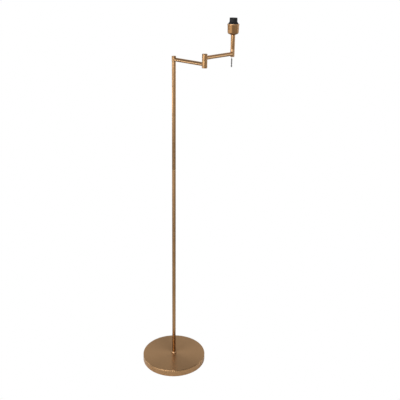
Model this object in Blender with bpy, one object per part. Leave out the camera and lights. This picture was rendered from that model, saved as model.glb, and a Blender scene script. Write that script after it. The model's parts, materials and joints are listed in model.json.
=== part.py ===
"""Pharmacy floor lamp: a weighted round base, a two-piece pole, two arms that swing level, and a
lampholder in a cup on a short stem, switched by a pull that hangs below the end of the arms.

Millimetres in the constants, metres in the scene, +Z up. The origin is the middle of the base, on the
floor. The lower arm swings about the pole, the upper arm about the middle knuckle, and the pull slides
down out of its switch.
"""

import math

import bmesh
import bpy
from mathutils import Vector

MM = 0.001
GAP = 0.3  # clearance between neighbouring pieces

# Base
BASE_R = 146.0
BASE_TOP = 31.0
BASE_EDGE_R = 2.5
COVER_WALL = 1.5
COVER_BOTTOM = 1.2
BASE_SEGMENTS = 48
PAD_R = 142.5
PAD_T = 2.4
WEIGHT_R = 143.6
WEIGHT_T = 9.0
HUB_R = 30.0
RECESS_R = 20.0
RECESS_TOP = 14.0
CABLE_SLOT_W = 11.0
INLET_Z = 8.7
INLET_HOLE_R = 4.6
INLET_BORE_R = 2.9

# Threaded hollow rods: outer radius, and the bore of whatever turns or threads on them
M10_R, M10_BORE_R, M10_CLEAR_R = 5.0, 3.5, 5.4
M8_R, M8_BORE_R, M8_CLEAR_R = 4.0, 2.6, 4.4
THIN_NUT_T = 3.0
WASHER_T = 0.8
WAVE_WASHER_T = 0.6

# Pole
POLE_R = 8.0
POLE_WALL = 1.2
POLE_SEAM_Z = 947.6
POLE_TOP = 1399.6
SEAM_FLANGE_T = 1.0
COLLAR_R = 11.5
COLLAR_H = 5.7
BUSH_R = 6.4

# Arms
ARM_R = 7.5
ARM_WALL = 1.2
ARM_LENGTH = 182.0
LOWER_ARM_Z = 1409.6
UPPER_ARM_DROP = 1.4  # how far the upper arm sits below the middle of its knuckle
LOWER_ARM_ANGLE = math.radians(-47.7)
UPPER_ARM_ANGLE = math.radians(52.5)
SPIGOT_R = 5.9
SPIGOT_LENGTH = 16.0
SPIGOT_BORE_R = 3.0
COPE_GAP = 0.35

# Knuckles
SHOULDER_R = 8.6
SHOULDER_CAVITY_R = 7.2
SHOULDER_TOP = 1420.8
MIDDLE_R = 10.25
MIDDLE_CAVITY_R = 8.3
MIDDLE_HALF_H = 23.8
MIDDLE_WEB_T = 4.6
CAP_T = 2.2
CAP_SPIGOT_H = 4.0
END_R = 8.6
END_CAVITY_R = 7.4
END_BOTTOM = 1421.3
END_TOP = 1452.8

# Stem and lampholder
STEM_R = 8.4
STEM_WALL = 1.3
CUP_BOTTOM = 1506.3
CUP_RIM = 1548.6
CUP_RIM_R = 23.7
CUP_SIDE_R = 22.0
CUP_CORNER_R = 7.0
CUP_CORNER_Z = 1516.8
CUP_WALL = 1.4
HOLDER_TOP = 1571.5
HOLDER_R = 15.5
HOLDER_BODY_R = 19.4
HOLDER_BODY_BOTTOM = 1534.6
HOLDER_BODY_TOP = 1551.0
SOCKET_R = 13.9
SHELL_R = 13.4
SHELL_WALL = 0.5
SHELL_BOTTOM = 1541.3
SHELL_TOP = 1566.0

# Pull
PULL_OFFSET = 2.2
PULL_ANGLE = math.radians(190.0)
PULL_WIRE_R = 0.6
PULL_TRAVEL = 6.0
HEAD_H = 2.4
SLEEVE_R = 2.5
SLEEVE_TOP = 1415.7
SLEEVE_BOTTOM = 1393.4
BEAD_R = 2.6
BEAD_BOTTOM = 1381.2

WIRE_R = 1.2

# Places worked out from the dimensions above
MIDDLE_GAP = WASHER_T + 2 * GAP
UPPER_ARM_Z = LOWER_ARM_Z + MIDDLE_HALF_H + MIDDLE_GAP - UPPER_ARM_DROP
MIDDLE_SEAM = LOWER_ARM_Z + MIDDLE_HALF_H / 2
SHOULDER = Vector((0.0, 0.0, 0.0))
MIDDLE = SHOULDER + ARM_LENGTH * Vector((math.cos(LOWER_ARM_ANGLE), math.sin(LOWER_ARM_ANGLE), 0.0))
END = MIDDLE + ARM_LENGTH * Vector((math.cos(UPPER_ARM_ANGLE), math.sin(UPPER_ARM_ANGLE), 0.0))
PULL = END + PULL_OFFSET * Vector((math.cos(PULL_ANGLE), math.sin(PULL_ANGLE), 0.0))

# Materials: colour, roughness, metallic
FINISHES = {
    "brushed_bronze": ((0.36, 0.20, 0.095), 0.36, 1.0),
    "zinc_steel": ((0.62, 0.63, 0.64), 0.38, 1.0),
    "raw_brass": ((0.70, 0.52, 0.25), 0.34, 1.0),
    "cast_iron": ((0.11, 0.11, 0.115), 0.75, 0.6),
    "felt": ((0.035, 0.032, 0.030), 0.95, 0.0),
    "rubber": ((0.025, 0.025, 0.025), 0.85, 0.0),
    "black_plastic": ((0.022, 0.022, 0.023), 0.42, 0.0),
    "ceramic": ((0.80, 0.78, 0.73), 0.45, 0.0),
    "dark_nickel": ((0.30, 0.30, 0.295), 0.30, 1.0),
    "wire_sleeve": ((0.60, 0.58, 0.53), 0.60, 0.0),
}


def clear_scene():
    for obj in list(bpy.data.objects):
        bpy.data.objects.remove(obj)


def finish(obj, name):
    """Gives the object its own Principled material in the named finish."""
    colour, roughness, metallic = FINISHES[name]
    material = bpy.data.materials.new(f"{obj.name}_{name}")
    material.use_nodes = True
    shader = material.node_tree.nodes["Principled BSDF"]
    shader.inputs["Base Color"].default_value = (*colour, 1.0)
    shader.inputs["Roughness"].default_value = roughness
    shader.inputs["Metallic"].default_value = metallic
    obj.data.materials.append(material)


def mesh_object(name, bm, at, angle=0.0):
    """A smooth-shaded object of this mesh, placed in millimetres and turned about Z."""
    mesh = bpy.data.meshes.new(name)
    bmesh.ops.recalc_face_normals(bm, faces=bm.faces)
    bm.to_mesh(mesh)
    bm.free()
    mesh.shade_smooth()
    mesh.set_sharp_from_angle(angle=math.radians(35))
    obj = bpy.data.objects.new(name, mesh)
    bpy.context.scene.collection.objects.link(obj)
    obj.location = Vector(at) * MM
    obj.rotation_euler = (0.0, 0.0, angle)
    return obj


def spun(profile, segments, axis=(0.0, 0.0, 1.0)):
    """A mesh turned from (radius, height) points. The outline closes on itself, or on the axis."""
    bm = bmesh.new()
    axis = Vector(axis)
    out = Vector((1.0, 0.0, 0.0)) if abs(axis.x) < 0.5 else Vector((0.0, 0.0, 1.0))
    points = [bm.verts.new((out * r + axis * h) * MM) for r, h in profile]
    edges = [bm.edges.new(pair) for pair in zip(points, points[1:])]
    if profile[0][0] > 0.0:
        edges.append(bm.edges.new((points[-1], points[0])))
    turn = {"cent": (0.0, 0.0, 0.0), "axis": axis, "angle": math.tau, "steps": segments}
    bmesh.ops.spin(bm, geom=points + edges, use_merge=True, **turn)
    bmesh.ops.remove_doubles(bm, verts=bm.verts, dist=1e-6)
    return bm


def turned(name, profile, finish_name, at=SHOULDER, segments=24):
    obj = mesh_object(name, spun(profile, segments), at)
    finish(obj, finish_name)
    return obj


def ring(name, inner, outer, bottom, top, finish_name, at=SHOULDER, segments=24):
    """A tube, washer or bush: four corners turned about Z."""
    profile = [(outer, top), (outer, bottom), (inner, bottom), (inner, top)]
    return turned(name, profile, finish_name, at, segments)


def hex_nut(name, across_flats, bore, bottom, top, at=SHOULDER):
    """A hexagon nut: a six-sided prism with a round bore cut through it."""
    corner = across_flats / 2 / math.cos(math.pi / 6)
    bm = spun([(0.0, top), (corner, top), (corner, bottom), (0.0, bottom)], 6)
    obj = mesh_object(name, bm, at)
    finish(obj, "zinc_steel")
    cut(obj, rod_cutter(f"{name}_bore", bore, (at[0], at[1], bottom - 2), (at[0], at[1], top + 2)))
    return obj


def rod_mesh(radius, length, segments):
    return spun([(0.0, length), (radius, length), (radius, 0.0), (0.0, 0.0)], segments)


def rod_cutter(name, radius, start, end, segments=16):
    """A cylinder from start to end that a Boolean takes away, left out of the lamp itself."""
    start, end = Vector(start), Vector(end)
    obj = mesh_object(name, rod_mesh(radius, (end - start).length, segments), start)
    obj.rotation_euler = (end - start).to_track_quat("Z", "Y").to_euler()
    return hide(obj)


def hide(obj):
    obj.hide_render = True
    obj.display_type = "WIRE"
    return obj


def boolean(obj, other, operation):
    modifier = obj.modifiers.new(other.name, "BOOLEAN")
    modifier.operation = operation
    modifier.object = other


def cut(obj, cutter):
    boolean(obj, cutter, "DIFFERENCE")


def arc(centre, radius, start, end, steps):
    """Points on a quarter or so of a circle, from one angle in degrees to the other."""
    angles = [math.radians(start + (end - start) * i / steps) for i in range(steps + 1)]
    return [(centre[0] + radius * math.cos(a), centre[1] + radius * math.sin(a)) for a in angles]


def parent_to(empty, objects):
    """Hangs the pieces of a moving body on the empty that stands on its joint axis."""
    for obj in objects:
        obj.parent = empty
        obj.matrix_parent_inverse = empty.matrix_world.inverted()


def pivot(name, at):
    empty = bpy.data.objects.new(name, None)
    empty.empty_display_size = 0.03
    empty.location = Vector(at) * MM
    bpy.context.scene.collection.objects.link(empty)
    return empty


def level_direction(angle):
    return Vector((math.cos(angle), math.sin(angle), 0.0))


def add_spigot(knuckle, axis, angle, height, knuckle_r, cavity_r):
    """Joins to a knuckle the hollow stub that its arm tube slides over, open to the knuckle's cavity."""
    along = level_direction(angle)
    centre = axis + Vector((0.0, 0.0, height))
    start = centre + along * (cavity_r + knuckle_r) / 2
    tip = centre + along * (knuckle_r + SPIGOT_LENGTH)
    stub = rod_cutter(f"{knuckle.name}_spigot", SPIGOT_R, start, tip)
    boolean(knuckle, stub, "UNION")
    inside, outside = centre + along * cavity_r / 2, tip + along * 2
    cut(knuckle, rod_cutter(f"{knuckle.name}_wireway", SPIGOT_BORE_R, inside, outside))


def arm_tube(name, start_axis, start_r, end_r, angle, height):
    """A tube between two knuckles, its ends hollowed to fit round them."""
    along = level_direction(angle)
    root = start_axis + Vector((0.0, 0.0, height))
    near, far = start_r / 2, ARM_LENGTH - end_r / 2
    profile = [(ARM_R, far), (ARM_R, near), (ARM_R - ARM_WALL, near), (ARM_R - ARM_WALL, far)]
    obj = mesh_object(name, spun(profile, 20), root)
    obj.rotation_euler = along.to_track_quat("Z", "Y").to_euler()
    finish(obj, "brushed_bronze")
    for end, radius in ((0.0, start_r), (ARM_LENGTH, end_r)):
        centre = root + along * end
        reach = Vector((0.0, 0.0, ARM_R * 2))
        cope_name = f"{name}_cope_{int(end)}"
        cut(obj, rod_cutter(cope_name, radius + COPE_GAP, centre - reach, centre + reach, 32))
    return obj


def wire(name, points, radius=WIRE_R):
    """A flexible conductor along a polyline, with closed ends."""
    curve = bpy.data.curves.new(name, "CURVE")
    curve.dimensions = "3D"
    curve.bevel_depth = radius * MM
    curve.bevel_resolution = 2
    curve.use_fill_caps = True
    spline = curve.splines.new("POLY")
    spline.points.add(len(points) - 1)
    for point, place in zip(spline.points, points):
        point.co = (*(Vector(place) * MM), 1.0)
    obj = bpy.data.objects.new(name, curve)
    bpy.context.scene.collection.objects.link(obj)
    finish(obj, "wire_sleeve")
    return obj


def make_base():
    """Felt, iron weight, spun cover, cable inlet, and the nipple that clamps them to the pole."""
    disc = [(0.0, PAD_T), (PAD_R, PAD_T), (PAD_R, 0.0), (0.0, 0.0)]
    turned("felt_pad", disc, "felt", segments=BASE_SEGMENTS)

    bottom = PAD_T + GAP
    under_cover = BASE_TOP - COVER_WALL - GAP
    plate_top = bottom + WEIGHT_T
    weight = turned(
        "base_weight",
        [
            (M10_CLEAR_R, under_cover),
            (HUB_R - 2, under_cover),
            (HUB_R, under_cover - 2),
            (HUB_R + 2, plate_top),
            (WEIGHT_R - 3, plate_top),
            (WEIGHT_R, plate_top - 3),
            (WEIGHT_R, bottom),
            (RECESS_R, bottom),
            (RECESS_R, RECESS_TOP),
            (M10_CLEAR_R, RECESS_TOP),
        ],
        "cast_iron",
        segments=BASE_SEGMENTS,
    )
    slot = bmesh.new()
    bmesh.ops.create_cube(slot, size=MM)
    slot_cutter = mesh_object("cable_slot", slot, (0.0, RECESS_R + WEIGHT_R / 2, plate_top / 2))
    slot_cutter.scale = (CABLE_SLOT_W, WEIGHT_R + 10, plate_top + 2)
    cut(weight, hide(slot_cutter))

    inner_r = BASE_R - COVER_WALL
    edge_z = BASE_TOP - BASE_EDGE_R
    inner_edge_r = BASE_EDGE_R - COVER_WALL
    outer_edge = arc((BASE_R - BASE_EDGE_R, edge_z), BASE_EDGE_R, 90, 0, 3)
    inner_edge = arc((inner_r - inner_edge_r, edge_z), inner_edge_r, 0, 90, 2)
    profile = [(M10_CLEAR_R, BASE_TOP), *outer_edge, (BASE_R, COVER_BOTTOM), (inner_r, COVER_BOTTOM)]
    profile += [*inner_edge, (M10_CLEAR_R, BASE_TOP - COVER_WALL)]
    cover = turned("base_cover", profile, "brushed_bronze", segments=BASE_SEGMENTS)
    hole = ((0.0, inner_r - 8, INLET_Z), (0.0, BASE_R + 8, INLET_Z))
    cut(cover, rod_cutter("inlet_hole", INLET_HOLE_R, *hole))

    lip, neck_r = 1.8, INLET_HOLE_R - 0.35
    outside, inside = BASE_R + GAP, inner_r - 2 * GAP
    grommet_profile = [
        (INLET_BORE_R, outside + lip),
        (neck_r + 1.0, outside + lip),
        (neck_r + 1.8, outside),
        (neck_r, outside),
        (neck_r, inside),
        (neck_r + 1.2, inside),
        (neck_r + 0.4, inside - lip),
        (INLET_BORE_R, inside - lip),
    ]
    grommet_mesh = spun(grommet_profile, 16, (0.0, 1.0, 0.0))
    grommet = mesh_object("cable_grommet", grommet_mesh, (0.0, 0.0, INLET_Z))
    finish(grommet, "rubber")

    washer_top = RECESS_TOP - GAP
    nut_top = washer_top - 1.6 - GAP
    ring("base_washer", M10_CLEAR_R, 16.0, washer_top - 1.6, washer_top, "zinc_steel")
    hex_nut("base_nut", 17.0, M10_CLEAR_R, nut_top - 4.0, nut_top)
    ring("base_nipple", M10_BORE_R, M10_R, nut_top - 5.5, 60.0, "zinc_steel", segments=16)


def make_pole():
    """Foot collar, two tubes with the coupler between them, and the bushes at the two ends."""
    foot = BASE_TOP + GAP
    inner = POLE_R - POLE_WALL
    bore = POLE_R + 0.45
    collar_top = foot + COLLAR_H
    turned(
        "foot_collar",
        [
            (bore, collar_top),
            (COLLAR_R - 1.6, collar_top),
            *arc((COLLAR_R - 1.4, collar_top - 1.4), 1.4, 60, 0, 2),
            (COLLAR_R, foot),
            (bore, foot),
        ],
        "brushed_bronze",
        segments=32,
    )
    ring("foot_bush", M10_CLEAR_R, BUSH_R, foot + 1, 57.0, "raw_brass", segments=20)
    half_flange = SEAM_FLANGE_T / 2
    below, above = POLE_SEAM_Z - half_flange - GAP, POLE_SEAM_Z + half_flange + GAP
    ring("lower_pole", inner, POLE_R, foot, below, "brushed_bronze")
    ring("upper_pole", inner, POLE_R, above, POLE_TOP, "brushed_bronze")
    spigot = 32.0
    turned(
        "pole_coupler",
        [
            (M10_BORE_R, POLE_SEAM_Z + spigot),
            (BUSH_R, POLE_SEAM_Z + spigot),
            (BUSH_R, POLE_SEAM_Z + half_flange),
            (POLE_R - 0.4, POLE_SEAM_Z + half_flange),
            (POLE_R - 0.4, POLE_SEAM_Z - half_flange),
            (BUSH_R, POLE_SEAM_Z - half_flange),
            (BUSH_R, POLE_SEAM_Z - spigot),
            (M10_BORE_R, POLE_SEAM_Z - spigot),
        ],
        "raw_brass",
        segments=20,
    )
    ring("pole_top_bush", M8_CLEAR_R, BUSH_R, POLE_TOP - 22, POLE_TOP, "raw_brass", segments=20)


def make_shoulder():
    """The spindle in the pole's top with its washers and nut, and the knuckle that turns on it."""
    floor = POLE_TOP + GAP + WASHER_T + GAP
    floor_top = floor + 3.4
    wave = floor_top + GAP
    nut = wave + WAVE_WASHER_T + GAP
    washer = POLE_TOP + GAP
    ring("shoulder_washer", M8_CLEAR_R, POLE_R - 0.2, washer, washer + WASHER_T, "raw_brass")
    ring("shoulder_wave_washer", M8_CLEAR_R, 6.6, wave, wave + WAVE_WASHER_T, "zinc_steel", segments=16)
    hex_nut("shoulder_nut", 11.6, M8_CLEAR_R, nut, nut + THIN_NUT_T)
    rod = (POLE_TOP - 20, nut + THIN_NUT_T + 0.4)
    ring("shoulder_spindle", M8_BORE_R, M8_R, *rod, "zinc_steel", segments=16)

    knuckle = turned(
        "shoulder_knuckle",
        [
            (SHOULDER_CAVITY_R, SHOULDER_TOP),
            (SHOULDER_R, SHOULDER_TOP),
            (SHOULDER_R, floor),
            (M8_CLEAR_R, floor),
            (M8_CLEAR_R, floor_top),
            (SHOULDER_CAVITY_R, floor_top),
        ],
        "brushed_bronze",
        segments=28,
    )
    add_spigot(knuckle, SHOULDER, LOWER_ARM_ANGLE, LOWER_ARM_Z, SHOULDER_R, SHOULDER_CAVITY_R)
    cap = cap_piece("shoulder_cap", SHOULDER_R, SHOULDER_CAVITY_R, SHOULDER_TOP, 1, SHOULDER)
    return [knuckle, cap]


def cap_piece(name, radius, cavity_r, face, side, at):
    """A shallow cap on a knuckle's end: side is 1 on top and -1 underneath."""
    spigot_r = cavity_r - 0.45
    near = face + side * GAP
    far = near + side * CAP_T
    profile = [
        (0.0, far),
        (radius - 1.2, far),
        (radius, far - side * 0.8),
        (radius, near),
        (spigot_r, near),
        (spigot_r, near - side * CAP_SPIGOT_H),
        (0.0, near - side * CAP_SPIGOT_H),
    ]
    return turned(name, profile, "brushed_bronze", at, 28)


def half_knuckle(name, web, side, cap_name, arm_angle, arm_z):
    """One half of the middle knuckle: a cup whose web faces the other half. side points away from it."""
    far = web + side * MIDDLE_HALF_H
    web_end = web + side * MIDDLE_WEB_T
    profile = [
        (MIDDLE_CAVITY_R, far),
        (MIDDLE_R, far),
        (MIDDLE_R, web),
        (M8_CLEAR_R, web),
        (M8_CLEAR_R, web_end),
        (MIDDLE_CAVITY_R, web_end),
    ]
    knuckle = turned(name, profile, "brushed_bronze", MIDDLE, 28)
    add_spigot(knuckle, MIDDLE, arm_angle, arm_z, MIDDLE_R, MIDDLE_CAVITY_R)
    return [knuckle, cap_piece(cap_name, MIDDLE_R, MIDDLE_CAVITY_R, far, side, MIDDLE)]


def make_middle():
    """Two stacked half knuckles on one spindle, which stays with the lower half, as do its nuts."""
    towards_pole = LOWER_ARM_ANGLE + math.pi
    lower = half_knuckle(
        "mid_knuckle_lower", MIDDLE_SEAM, -1, "mid_bottom_cap", towards_pole, LOWER_ARM_Z
    )
    upper = half_knuckle(
        "mid_knuckle_upper", MIDDLE_SEAM + MIDDLE_GAP, 1, "mid_top_cap", UPPER_ARM_ANGLE, UPPER_ARM_Z
    )
    washer = MIDDLE_SEAM + GAP
    lower.append(
        ring("mid_friction_washer", M8_CLEAR_R, 9.7, washer, washer + WASHER_T, "raw_brass", MIDDLE)
    )
    low_nut = MIDDLE_SEAM - MIDDLE_WEB_T - GAP
    lower.append(hex_nut("mid_lower_nut", 13.0, M8_CLEAR_R, low_nut - THIN_NUT_T, low_nut, MIDDLE))
    wave = MIDDLE_SEAM + MIDDLE_GAP + MIDDLE_WEB_T + GAP
    lower.append(
        ring("mid_wave_washer", M8_CLEAR_R, 7.4, wave, wave + WAVE_WASHER_T, "zinc_steel", MIDDLE, 16)
    )
    high_nut = wave + WAVE_WASHER_T + GAP
    lower.append(hex_nut("mid_upper_nut", 13.0, M8_CLEAR_R, high_nut, high_nut + THIN_NUT_T, MIDDLE))
    rod = (low_nut - THIN_NUT_T - 0.3, high_nut + THIN_NUT_T + 0.3)
    lower.append(ring("mid_spindle", M8_BORE_R, M8_R, *rod, "zinc_steel", MIDDLE, 16))
    return lower, upper


def make_end():
    """The knuckle at the end of the arms, with the pull switch in it and the stem on top."""
    floor = END_BOTTOM + CAP_T + GAP
    knuckle = turned(
        "end_knuckle",
        [
            (END_CAVITY_R, END_TOP),
            (END_R, END_TOP),
            (END_R, floor),
            (END_CAVITY_R, floor),
        ],
        "brushed_bronze",
        END,
        28,
    )
    add_spigot(knuckle, END, UPPER_ARM_ANGLE + math.pi, UPPER_ARM_Z, END_R, END_CAVITY_R)

    cap = turned(
        "end_bottom_cap",
        [
            (0.0, floor - GAP),
            (END_R, floor - GAP),
            (END_R, END_BOTTOM + 0.8),
            (END_R - 1.2, END_BOTTOM),
            (0.0, END_BOTTOM),
        ],
        "brushed_bronze",
        END,
        28,
    )
    outlet_r = 1.9
    hole = [(PULL.x, PULL.y, END_BOTTOM - 3), (PULL.x, PULL.y, floor + 3)]
    cut(cap, rod_cutter("outlet_hole", outlet_r + 0.35, *hole))
    outlet = ring("pull_outlet", 1.2, outlet_r, END_BOTTOM - 0.6, floor, "dark_nickel", PULL, 16)

    switch_bottom = floor + GAP
    switch_top = switch_bottom + 20
    switch_r = END_CAVITY_R - 0.5
    switch = turned(
        "switch_body",
        [(0.0, switch_top), (switch_r, switch_top), (switch_r, switch_bottom), (0.0, switch_bottom)],
        "black_plastic",
        END,
        20,
    )
    bore_r = 2.0
    bore = [(PULL.x, PULL.y, switch_bottom - 2), (PULL.x, PULL.y, switch_top - 2)]
    cut(switch, rod_cutter("switch_bore", bore_r, *bore, 12))
    spring = make_spring(switch_bottom + PULL_TRAVEL + 0.5 + HEAD_H + 2 * GAP, switch_top - 3)

    bush_bottom = switch_top + 1
    stem_bush = ring("stem_bush", M10_BORE_R, 6.7, bush_bottom, END_TOP + 14, "raw_brass", END, 20)
    stem_top = CUP_BOTTOM - GAP
    stem_bore = STEM_R - STEM_WALL
    stem = ring("stem_tube", stem_bore, STEM_R, END_TOP + GAP, stem_top, "brushed_bronze", END)
    top_bush = ring("stem_top_bush", M10_CLEAR_R, 6.7, stem_top - 20, stem_top, "raw_brass", END, 20)
    return [knuckle, cap, outlet, switch, spring, stem_bush, stem, top_bush], switch_bottom, switch_top


def make_spring(bottom, top):
    """The extension spring that draws the pull back up, hung inside the switch's bore."""
    coil_r, wire_r, turns, steps = 1.25, 0.22, 5, 8
    count = turns * steps
    points = []
    for i in range(count + 1):
        angle = math.tau * i / steps
        height = bottom + (top - bottom) * i / count
        points.append((PULL.x + coil_r * math.cos(angle), PULL.y + coil_r * math.sin(angle), height))
    spring = wire("switch_spring", points, wire_r)
    spring.data.bevel_resolution = 1
    return spring


def make_pull(switch_bottom):
    """The wire, its head in the switch, and the sleeve and bead that the hand takes."""
    head_bottom = switch_bottom + PULL_TRAVEL + 0.5
    head_top = head_bottom + HEAD_H
    head = turned(
        "pull_head",
        [(0.0, head_top), (1.6, head_top), (1.6, head_bottom), (0.0, head_bottom)],
        "dark_nickel",
        PULL,
        12,
    )
    top, bottom = head_bottom - GAP, BEAD_BOTTOM + 2
    rod = [(0.0, top), (PULL_WIRE_R, top), (PULL_WIRE_R, bottom), (0.0, bottom)]
    pull_wire = turned("pull_wire", rod, "dark_nickel", PULL, 10)
    bore = 1.0
    sleeve = turned(
        "pull_sleeve",
        [
            (bore, SLEEVE_TOP),
            (SLEEVE_R - 0.8, SLEEVE_TOP),
            (SLEEVE_R, SLEEVE_TOP - 0.8),
            (SLEEVE_R, SLEEVE_BOTTOM + 0.8),
            (SLEEVE_R - 0.8, SLEEVE_BOTTOM),
            (bore, SLEEVE_BOTTOM),
        ],
        "dark_nickel",
        PULL,
        16,
    )
    bead_top = SLEEVE_BOTTOM - GAP
    bead = turned(
        "pull_bead",
        [
            (bore, bead_top),
            (1.7, bead_top),
            (1.5, bead_top - 1.0),
            (BEAD_R, bead_top - 3.0),
            (BEAD_R, BEAD_BOTTOM + 2.2),
            (BEAD_R - 0.9, BEAD_BOTTOM + 0.5),
            (bore, BEAD_BOTTOM),
        ],
        "dark_nickel",
        PULL,
        16,
    )
    return [head, pull_wire, sleeve, bead]


def make_lampholder():
    """The metal cup, its nipple and nut, and the two-part lampholder with its contacts."""
    cup_floor = CUP_BOTTOM + CUP_WALL
    corner = (CUP_SIDE_R - CUP_CORNER_R, CUP_CORNER_Z)
    outer = [
        (CUP_RIM_R - 0.7, CUP_RIM),
        (CUP_RIM_R, CUP_RIM - 0.7),
        (CUP_RIM_R, CUP_RIM - 3.4),
        (CUP_RIM_R - 0.6, CUP_RIM - 4.2),
        *arc(corner, CUP_CORNER_R, 0, -60, 3),
        (9.4, CUP_BOTTOM),
    ]
    inner = [
        (9.0, cup_floor),
        *arc(corner, CUP_CORNER_R - CUP_WALL, -60, 0, 3),
        (CUP_RIM_R - 0.6 - CUP_WALL, CUP_RIM - 4.2),
        (CUP_RIM_R - 0.6 - CUP_WALL, CUP_RIM),
    ]
    profile = [*outer, (M10_CLEAR_R, CUP_BOTTOM), (M10_CLEAR_R, cup_floor), *inner]
    cup = turned("lampholder_cup", profile, "brushed_bronze", END, 28)
    nut_bottom = cup_floor + GAP
    nut = hex_nut("cup_nut", 15.0, M10_CLEAR_R, nut_bottom, nut_bottom + THIN_NUT_T, END)
    nipple_top = nut_bottom + THIN_NUT_T + 6
    nipple = ring("cup_nipple", M10_BORE_R, M10_R, CUP_BOTTOM - 16, nipple_top, "zinc_steel", END, 16)

    dome_bottom = nut_bottom + THIN_NUT_T + GAP
    dome_top = HOLDER_BODY_BOTTOM - GAP
    wall = 1.6
    base = turned(
        "lampholder_base",
        [
            (HOLDER_BODY_R - wall, dome_top),
            (HOLDER_BODY_R, dome_top),
            (HOLDER_BODY_R, dome_bottom + 9),
            (HOLDER_BODY_R - 5, dome_bottom + 2),
            (HOLDER_BODY_R - 8, dome_bottom),
            (M10_CLEAR_R, dome_bottom),
            (M10_CLEAR_R, dome_bottom + 5),
            (HOLDER_BODY_R - 8, dome_bottom + 5),
            (HOLDER_BODY_R - wall, dome_bottom + 10),
        ],
        "black_plastic",
        END,
        24,
    )
    barrel = turned(
        "lampholder_barrel",
        [
            (SOCKET_R, HOLDER_TOP),
            *arc((HOLDER_R - 1.2, HOLDER_TOP - 1.2), 1.2, 90, 0, 2),
            (HOLDER_R, HOLDER_BODY_TOP + 6),
            (HOLDER_R + 1.4, HOLDER_BODY_TOP + 3.6),
            (HOLDER_BODY_R, HOLDER_BODY_TOP),
            (HOLDER_BODY_R, HOLDER_BODY_BOTTOM),
            (HOLDER_BODY_R - wall, HOLDER_BODY_BOTTOM),
            (HOLDER_BODY_R - wall, SHELL_BOTTOM + 1),
            (SOCKET_R, SHELL_BOTTOM + 1),
        ],
        "black_plastic",
        END,
        28,
    )
    block_top = SHELL_BOTTOM - GAP
    block_bottom = HOLDER_BODY_BOTTOM
    block_r = HOLDER_BODY_R - wall - 0.5
    block = turned(
        "contact_block",
        [(0.0, block_top), (block_r, block_top), (block_r, block_bottom), (0.0, block_bottom)],
        "ceramic",
        END,
        24,
    )
    inner_shell = SHELL_R - SHELL_WALL
    shell = ring("screw_shell", inner_shell, SHELL_R, SHELL_BOTTOM, SHELL_TOP, "raw_brass", END, 24)
    contact_bottom = block_top + GAP
    contact = turned(
        "centre_contact",
        [
            (0.0, contact_bottom + 1.8),
            (2.4, contact_bottom + 1.3),
            (3.5, contact_bottom),
            (0.0, contact_bottom),
        ],
        "raw_brass",
        END,
        16,
    )
    pieces = [cup, nut, nipple, base, barrel, block, shell, contact]
    for number, angle in ((1, 0.0), (2, math.pi)):
        at = END + level_direction(angle) * 10
        head = block_bottom - GAP
        screw = [(0.0, head), (1.9, head), (1.9, head - 1.6), (0.0, head - 1.6)]
        pieces.append(turned(f"terminal_screw_{number}", screw, "raw_brass", at, 12))
    return pieces


def make_wires(switch_top):
    """The internal wiring in four runs that meet end to end at the swivels and at the switch."""
    spindle_top = POLE_TOP + 2 * GAP + WASHER_T + 3.4 + GAP + WAVE_WASHER_T + GAP + THIN_NUT_T
    wire("pole_wire", [(0.0, 0.0, 7.0), (0.0, 0.0, spindle_top)])

    out = level_direction(LOWER_ARM_ANGLE)
    over_the_nut = LOWER_ARM_Z + 1.5
    route = [(0.0, spindle_top + 0.7), (0.4, over_the_nut - 0.4), (1.6, over_the_nut)]
    route += [(8.0, over_the_nut - 0.2), (24.0, LOWER_ARM_Z)]
    bend = arc((ARM_LENGTH - 3, LOWER_ARM_Z + 3), 3, -90, 0, 4)
    mid_top = UPPER_ARM_Z - 2.0
    route += [*bend, (ARM_LENGTH, mid_top)]
    lower = wire("lower_arm_wire", [SHOULDER + out * r + Vector((0.0, 0.0, z)) for r, z in route])

    out = level_direction(UPPER_ARM_ANGLE)
    over_the_spindle = UPPER_ARM_Z - 1.4
    route = [*arc((2.6, over_the_spindle), 2.6, 180, 90, 4), (ARM_LENGTH - END_CAVITY_R, UPPER_ARM_Z)]
    upper = wire("upper_arm_wire", [MIDDLE + out * r + Vector((0.0, 0.0, z)) for r, z in route])
    bottom, top = switch_top + GAP, HOLDER_BODY_BOTTOM - GAP
    stem = wire("stem_wire", [(END.x, END.y, bottom), (END.x, END.y, top)])
    return lower, [upper, stem]


def main():
    clear_scene()
    make_base()
    make_pole()
    shoulder = make_shoulder()
    lower, upper = make_middle()
    lower += shoulder
    lower_line = (LOWER_ARM_ANGLE, LOWER_ARM_Z)
    upper_line = (UPPER_ARM_ANGLE, UPPER_ARM_Z)
    lower.append(arm_tube("lower_arm_tube", SHOULDER, SHOULDER_R, MIDDLE_R, *lower_line))
    upper.append(arm_tube("upper_arm_tube", MIDDLE, MIDDLE_R, END_R, *upper_line))
    end, switch_bottom, switch_top = make_end()
    upper += end + make_lampholder()
    lower_wire, upper_wires = make_wires(switch_top)
    lower.append(lower_wire)
    upper += upper_wires
    pull = make_pull(switch_bottom)

    lower_pivot = pivot("lower_arm_pivot", SHOULDER + Vector((0.0, 0.0, LOWER_ARM_Z)))
    upper_pivot = pivot("upper_arm_pivot", MIDDLE + Vector((0.0, 0.0, UPPER_ARM_Z)))
    pull_slide = pivot("pull_slide", PULL + Vector((0.0, 0.0, END_BOTTOM)))
    bpy.context.view_layer.update()
    parent_to(lower_pivot, lower + [upper_pivot])
    parent_to(upper_pivot, upper + [pull_slide])
    parent_to(pull_slide, pull)


main()
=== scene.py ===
"""Looks of the pharmacy floor lamp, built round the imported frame: turned and drawn bronze, a black
lampholder with its screw shell, the nickel pull, felt, rubber and iron.

Metres, +Z up. Every place comes from the frame's own boxes, and the bores and walls inside them are
named below. Each turned piece has its origin on its own axis, so that its brushing runs round it.
"""

import json
import math

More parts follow.
